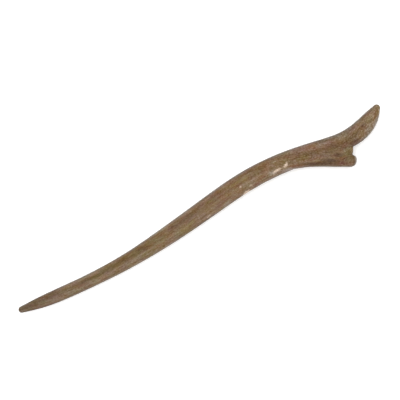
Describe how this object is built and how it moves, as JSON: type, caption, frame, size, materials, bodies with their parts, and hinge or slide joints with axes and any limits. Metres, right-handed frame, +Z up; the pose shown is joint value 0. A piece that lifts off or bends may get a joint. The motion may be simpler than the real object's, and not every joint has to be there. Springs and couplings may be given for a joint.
{
  "type": "hair stick",
  "caption": "Hand-carved wooden hair stick: a slim tapered shaft in a gentle S-curve that ends in a fork with a curved horn, a blunt straight lobe and a small knob between them.",
  "frame": {"origin": "on the surface the stick lies on, under the middle of its bounding box", "axes": "+X along the stick from its point to the tip of its horn, +Z up, out of the surface it lies on"},
  "size_m": [0.1802, 0.0218, 0.0076],
  "materials": {
    "walnut": "mid-brown walnut, unvarnished, hand-sanded satin with fine lengthwise grain and a few pale worn marks at the bend"
  },
  "bodies": {
    "root": {"hair_stick": "walnut"}
  },
  "joints": []
}
